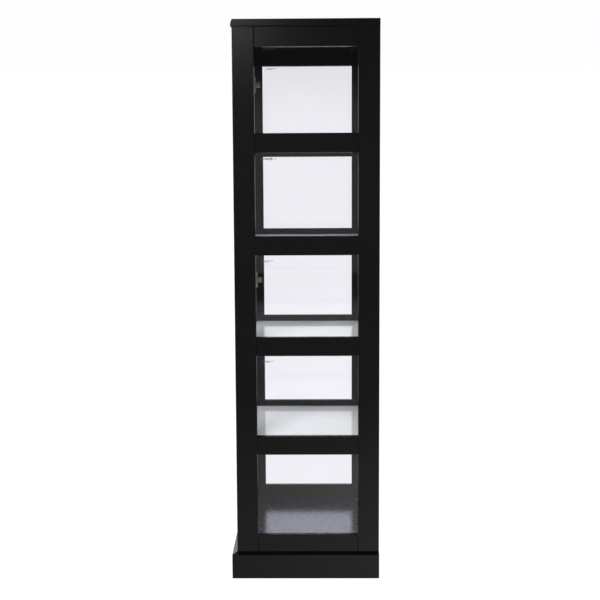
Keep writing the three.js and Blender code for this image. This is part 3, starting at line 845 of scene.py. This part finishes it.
barrel_low, barrel_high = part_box("lock_barrel")
plug_low, plug_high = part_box("lock_plug_and_cam")
lock_x = (barrel_low.x + barrel_high.x) / 2
lock_z = (barrel_low.z + barrel_high.z) / 2
door_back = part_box("door_stile_lock_side")[1].y
barrel_length = (barrel_high.y - barrel_low.y) / MM
plug_length = (plug_high.y - plug_low.y) / MM
cam_half = (plug_high.x - plug_low.x) / 2 / MM
cam_low, cam_top = (plug_low.z - lock_z) / MM, (plug_high.z - lock_z) / MM
print("lock at", round(lock_x, 3), round(lock_z, 3), "barrel", round(barrel_length, 1), "mm long")

# %% Barrel and nut, on the door
root = BARREL_RADIUS - THREAD_DEPTH
thread = []
for i in range(THREAD_TURNS):
    thread += [(root, i * THREAD_PITCH), (BARREL_RADIUS, (i + 0.5) * THREAD_PITCH)]
thread.append((root, THREAD_TURNS * THREAD_PITCH))
flange_back = barrel_length - FLANGE_THICKNESS
flange = [(BARREL_RADIUS - 0.3, flange_back), (FLANGE_RADIUS, flange_back),
          (FLANGE_RADIUS, flange_back + 0.6), (FLANGE_RADIUS - 0.8, flange_back + 1.4),
          (FLANGE_RADIUS - 2, barrel_length), (FLANGE_RADIUS - 3, barrel_length),
          (BORE, barrel_length - 0.5)]
barrel = turned([(BORE, 0)] + thread + flange, 64)
barrel_place = Matrix.Translation((lock_x, barrel_high.y, lock_z)) @ FACING_FRONT
make_piece("lock_shell", barrel, barrel_place, chrome, "door", edge_mm=0.1,
           takes=["lock_barrel"])

sixths = [math.pi / 3 * i for i in range(6)]
hexagon = [(NUT_RADIUS * math.cos(angle), NUT_RADIUS * math.sin(angle)) for angle in sixths]
nut = carved(plate(hexagon, 0, NUT_THICKNESS), rod(BARREL_RADIUS + 0.1, -1, 4, 48))
nut_place = Matrix.Translation((lock_x, door_back, lock_z)) @ FACING_BACK @ turn(0.25, "Z")
make_piece("lock_nut", nut, nut_place, zinc, "door", edge_mm=0.3)
print("barrel's thread:", THREAD_TURNS, "turns")

# %% Plug and cam, which turn with the key
plug = turned([(0, 0), (PLUG_RADIUS, 0), (PLUG_RADIUS, plug_length - 0.4),
               (PLUG_RADIUS - 0.4, plug_length), (0, plug_length)])
plug = carved(plug, plate(KEYWAY, plug_length - KEYWAY_DEPTH, plug_length + 2))
plug_place = Matrix.Translation((lock_x, plug_high.y, lock_z)) @ FACING_FRONT
make_piece("lock_plug", plug, plug_place, chrome, "lock", edge_mm=0.1)

cam_outline = rounded_rectangle(2 * cam_half, cam_top - cam_low, CAM_CORNER)
cam = shifted(plate(cam_outline, -CAM_THICKNESS, 0), 0, (cam_top + cam_low) / 2, 0)
cam = carved(cam, shifted(rod(2.2, -9, 9), 0, cam_top - CAM_HOLE_BELOW_TIP, 0))
cam_place = Matrix.Translation((lock_x, plug_high.y, lock_z)) @ FACING_BACK
make_piece("lock_cam", cam, cam_place, zinc, "lock", edge_mm=0.3,
           takes=["lock_plug_and_cam"])
make_piece("lock_cam_screw", screw_head(4.4, 2.0), cam_place, zinc, "lock", edge_mm=0.15)
print("cam from", round(cam_low, 1), "to", round(cam_top, 1), "mm about the plug's axis")

# %% [markdown]
# ## The can light
# A spun aluminium can with a black powder coat hangs under the top board. Cooling grooves are
# turned round its upper half, four vent slots are cut below them, and a stippled glass lens sits
# a little inside the trim ring. The lamp isn't lit. The lens is drawn opaque, and its dark colour
# is painted shade for the unlit can behind the glass; the glass itself is a little green.

# %% Lamp finishes
GRIT_MM = 0.6  # real powder grit is finer, too fine to show
STIPPLE_MM = 2.2

powder, tree = new_material("black_powder_coat")
place = add_node(tree, "TexCoord").outputs["Object"]
grit = add_node(tree, "TexNoise", {"Vector": place, "Scale": per_mm(GRIT_MM), "Detail": 2.0})
shade = add_node(tree, "Mix", {"Factor": grit.outputs["Fac"], "A": linear("#0d0f0e"),
                               "B": linear("#161817")}, data_type="RGBA")
relief = add_node(tree, "Bump", {"Height": grit.outputs["Fac"], "Strength": 0.4, "Distance": 0.1 * MM})
shader = add_node(tree, "BsdfPrincipled", {"Base Color": shade.outputs["Result"], "Roughness": 0.75,
                                           "Specular IOR Level": 0.08,  # the grit breaks up the sheen
                                           "Normal": relief.outputs[0]})
add_node(tree, "OutputMaterial", {"Surface": shader.outputs[0]})

stipple_glass, tree = new_material("stippled_soda_glass")
place = add_node(tree, "TexCoord").outputs["Object"]
dimples = add_node(tree, "TexVoronoi", {"Vector": place, "Scale": per_mm(STIPPLE_MM)},
                   feature="SMOOTH_F1")
# Painted shade: the lens is near black for the unlit can behind its glass, and darker in the hollows of its
# dimples.
shade = add_node(tree, "Mix", {"Factor": dimples.outputs["Distance"], "A": linear("#12160f"),
                               "B": linear("#272d20")}, data_type="RGBA")
relief = add_node(tree, "Bump", {"Height": dimples.outputs["Distance"], "Strength": 0.8,
                                 "Distance": 0.4 * MM})
shader = add_node(tree, "BsdfPrincipled", {"Base Color": shade.outputs["Result"], "Roughness": 0.65,
                                           "IOR": GLASS_IOR,
                                           "Specular IOR Level": 0.05,  # the stipple scatters it
                                           "Normal": relief.outputs[0]})
add_node(tree, "OutputMaterial", {"Surface": shader.outputs[0]})
print("lamp finishes:", powder.name, stipple_glass.name)

# %% Lamp can and lens, in millimetres down from the top board
GROOVES = 4
GROOVE_PITCH = 3.2
GROOVE_DEPTH = 1.3
VENTS = 4
VENTS_DOWN = 22
LENS_BULGE = 1.2
LENS_EDGE = 0.4  # how high on the lens's edge the bulge starts
LENS_GAP = 0.4  # between the lens and the can

can_low, can_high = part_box("lamp_housing")
lens_low, lens_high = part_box("lamp_lens")
can_radius = (can_high.x - can_low.x) / 2 / MM
can_height = (can_high.z - can_low.z) / MM
lens_radius = (lens_high.x - lens_low.x) / 2 / MM
can_place = Matrix.Translation(((can_low.x + can_high.x) / 2, (can_low.y + can_high.y) / 2, can_high.z))

body_radius = can_radius - 0.3  # the top plate and the trim ring stand proud of the body
grooved = body_radius - GROOVE_DEPTH
inside = lens_radius + LENS_GAP
wall = [(0, 0), (can_radius, 0), (can_radius, -3)]
for i in range(GROOVES):
    top = -4 - GROOVE_PITCH * i
    wall += [(body_radius, top), (grooved, top - 0.5), (grooved, top - 1.7), (body_radius, top - 2.2)]
wall += [(body_radius, -19), (body_radius, 6 - can_height), (can_radius, 5.4 - can_height),
         (can_radius, 1.2 - can_height), (can_radius - 1.2, -can_height), (inside + 0.8, -can_height),
         (inside, 1.4 - can_height), (inside, 9 - can_height), (inside - 3, 10 - can_height),
         (inside - 5, -3), (0, -3)]
vents = []
for i in range(VENTS):
    facing = turn(math.pi / 4 + 2 * math.pi / VENTS * i, "Z")
    cutter = plate(rounded_rectangle(10, 3, 1.4), can_radius - 6, can_radius + 3)
    vents.append(moved(cutter, facing @ Matrix.Translation((0, 0, -VENTS_DOWN)) @ FACING_RIGHT))
make_piece("lamp_can", carved(turned(wall, 72), *vents), can_place, powder, "cabinet",
           edge_mm=0.25, takes=["lamp_housing"])

lens = [(0, 3), (lens_radius, 3), (lens_radius, 0.6)]
for i in range(8):
    angle = math.pi / 2 * i / 8
    lens.append((lens_radius * math.cos(angle), LENS_EDGE - LENS_BULGE * math.sin(angle)))
lens.append((0, LENS_EDGE - LENS_BULGE))
lens_place = Matrix.Translation((can_place.translation.x, can_place.translation.y, lens_low.z))
make_piece("lamp_front_glass", turned(lens, 72), lens_place, stipple_glass, "cabinet",
           edge_mm=0.2, takes=["lamp_lens"])
print("lamp can radius", round(can_radius, 1), "mm, height", round(can_height, 1), "mm")

# %% [markdown]
# ## Fixings
# Three countersunk screws hold each shelf cleat on its rail, and a row of pan-head screws holds
# the back panel to the floor panel's edge. They are black, so they only show close to.

# %% Cleat screws and back screws
CLEAT_SCREWS = (0.1, 0.5, 0.9)  # along the cleat, as shares of its length
CLEAT_SCREWS_DOWN = 4.6  # mm below the cleat's top
BACK_SCREWS = 5

for side in ("left", "right"):
    for level in range(1, 5):
        low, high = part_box(f"{side}_cleat_{level}")
        face_x = high.x if side == "left" else low.x
        inwards = FACING_RIGHT if side == "left" else turn(math.pi, "Z") @ FACING_RIGHT
        spots = [low.y + (high.y - low.y) * share for share in CLEAT_SCREWS]
        places = [Matrix.Translation((0, y / MM, 0)) @ inwards @ turn(y * 40 + level, "Z") for y in spots]
        heads = copies(screw_head(3.2, 0.5, flush=True), places)
        row = Matrix.Translation((face_x, 0, high.z - CLEAT_SCREWS_DOWN * MM))
        make_piece(f"{side}_cleat_screws_{level}", heads, row, black_screw, "cabinet",
                   edge_mm=0.08)

back_low, back_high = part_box("back_panel")
floor_low, floor_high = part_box("floor_panel")
pitch = (back_high.x - back_low.x) / BACK_SCREWS / MM
places = []
for i in range(BACK_SCREWS):
    at = (i - (BACK_SCREWS - 1) / 2) * pitch
    places.append(Matrix.Translation((at, 0, 0)) @ FACING_BACK @ turn(0.7 * i, "Z"))
row = Matrix.Translation((0, back_high.y, (floor_low.z + floor_high.z) / 2))
make_piece("back_panel_screws", copies(screw_head(3.8, 1.8), places), row, black_screw,
           "cabinet", edge_mm=0.1)
print("back screws", round(pitch), "mm apart")

# %% [markdown]
# ## Safety stamps
# Toughened panes carry a small etched stamp in a corner. Only its form is made here: two rows of
# plain dashes without any lettering, a twentieth of a millimetre proud of the glass. The
# sandblasted glass lets part of the light through. Its dark grey colour is painted shade: a real
# sandblasted mark is pale, and reads grey against the white only by how the light behind it falls.

# %% Etched stamps
SANDBLAST_MM = 0.5
STAMP_THICKNESS = 0.05
PANE_IN_GROOVE = 5
DASH_WIDTH = 1.8
DASH_GAP = 1.6
DASH_ROWS = [(1.6, [7, 11, 5, 8]), (-1.6, [6, 4, 9])]  # each row's height and its dashes' lengths
# Which panes have one, and how far it is from the opening's front edge and from its top edge.
STAMPS = {"left": (range(1, 6), 14, 9), "right": (range(2, 5), 19, 19)}

etched, tree = new_material("sandblasted_glass_stamp")
grain = add_node(tree, "TexNoise", {"Vector": add_node(tree, "TexCoord").outputs["Object"],
                                    "Scale": per_mm(SANDBLAST_MM), "Detail": 2.0})
# Painted shade: the dark grey stands in for how the pale etched mark reads against the bright white behind
# it.
shade = add_node(tree, "Mix", {"Factor": grain.outputs["Fac"], "A": linear("#33373b"),
                               "B": linear("#44494e")}, data_type="RGBA")
shader = add_node(tree, "BsdfPrincipled", {"Base Color": shade.outputs["Result"], "Roughness": 0.7,
                                           "IOR": GLASS_IOR, "Alpha": 0.6})
add_node(tree, "OutputMaterial", {"Surface": shader.outputs[0]})

for side, (levels, from_front, below_top) in STAMPS.items():
    for level in levels:
        low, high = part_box(f"{side}_pane_{level}")
        dashes = []
        for height, lengths in DASH_ROWS:
            at = 0.0
            for length in lengths:
                dash = plate(rounded_rectangle(length, DASH_WIDTH, 0.8, 3), 0, STAMP_THICKNESS)
                dashes.append(shifted(dash, at + length / 2, height, 0))
                at += length + DASH_GAP
        corner = Matrix.Translation((high.x, low.y + (PANE_IN_GROOVE + from_front) * MM,
                                     high.z - (PANE_IN_GROOVE + below_top) * MM))
        make_piece(f"{side}_pane_stamp_{level}", moved(join(dashes), FACING_RIGHT), corner, etched,
                   "cabinet")
print("stamped panes:", sum(len(levels) for levels, _, _ in STAMPS.values()))
